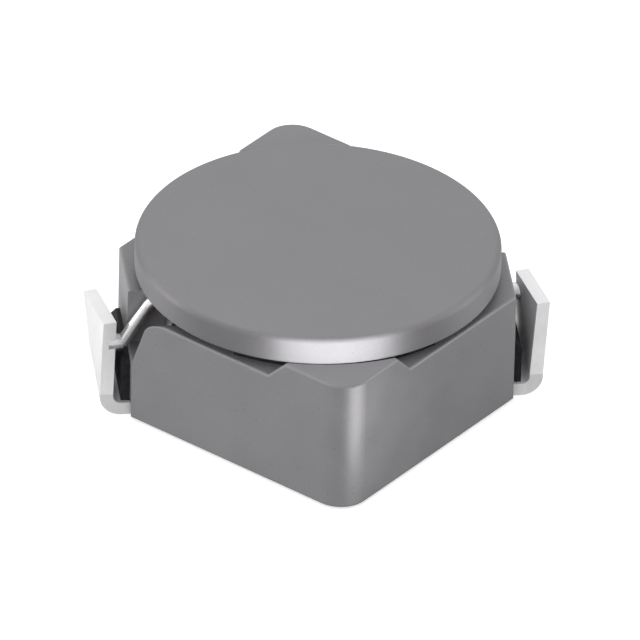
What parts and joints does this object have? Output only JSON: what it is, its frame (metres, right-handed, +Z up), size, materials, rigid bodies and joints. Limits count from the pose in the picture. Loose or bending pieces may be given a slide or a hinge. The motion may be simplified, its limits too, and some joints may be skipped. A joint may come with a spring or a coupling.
{
  "type": "shielded smd inductor",
  "caption": "Low square surface-mount power inductor: a drum core with a wide round flange in a square ferrite shield, with two bent tinned terminals at opposite corners.",
  "frame": {"origin": "centre of the footprint, at the undersides of the two feet", "axes": "+Z up out of the board, X and Y along the sides of the square shield; the terminals stand at the corners (-X, -Y) and (+X, +Y)"},
  "size_m": [0.0072, 0.0072, 0.003],
  "materials": {
    "shield_ferrite": "dense sintered ferrite, smooth and satin grey",
    "core_ferrite": "dense sintered ferrite, ground smooth, satin grey",
    "enamelled_copper": "copper wire with clear brown enamel",
    "tinned_sheet": "bright tin plating on thin copper alloy sheet",
    "solder": "smooth solder, slightly duller than the plating",
    "adhesive": "cured dark epoxy"
  },
  "bodies": {
    "root": {"shield_ring": "shield_ferrite", "drum_core": "core_ferrite", "winding": "enamelled_copper", "terminal_left": "tinned_sheet", "terminal_right": "tinned_sheet", "solder_left": "solder", "solder_right": "solder", "terminal_adhesive_left": "adhesive", "terminal_adhesive_right": "adhesive", "core_adhesive_front": "adhesive", "core_adhesive_back": "adhesive"}
  },
  "joints": []
}
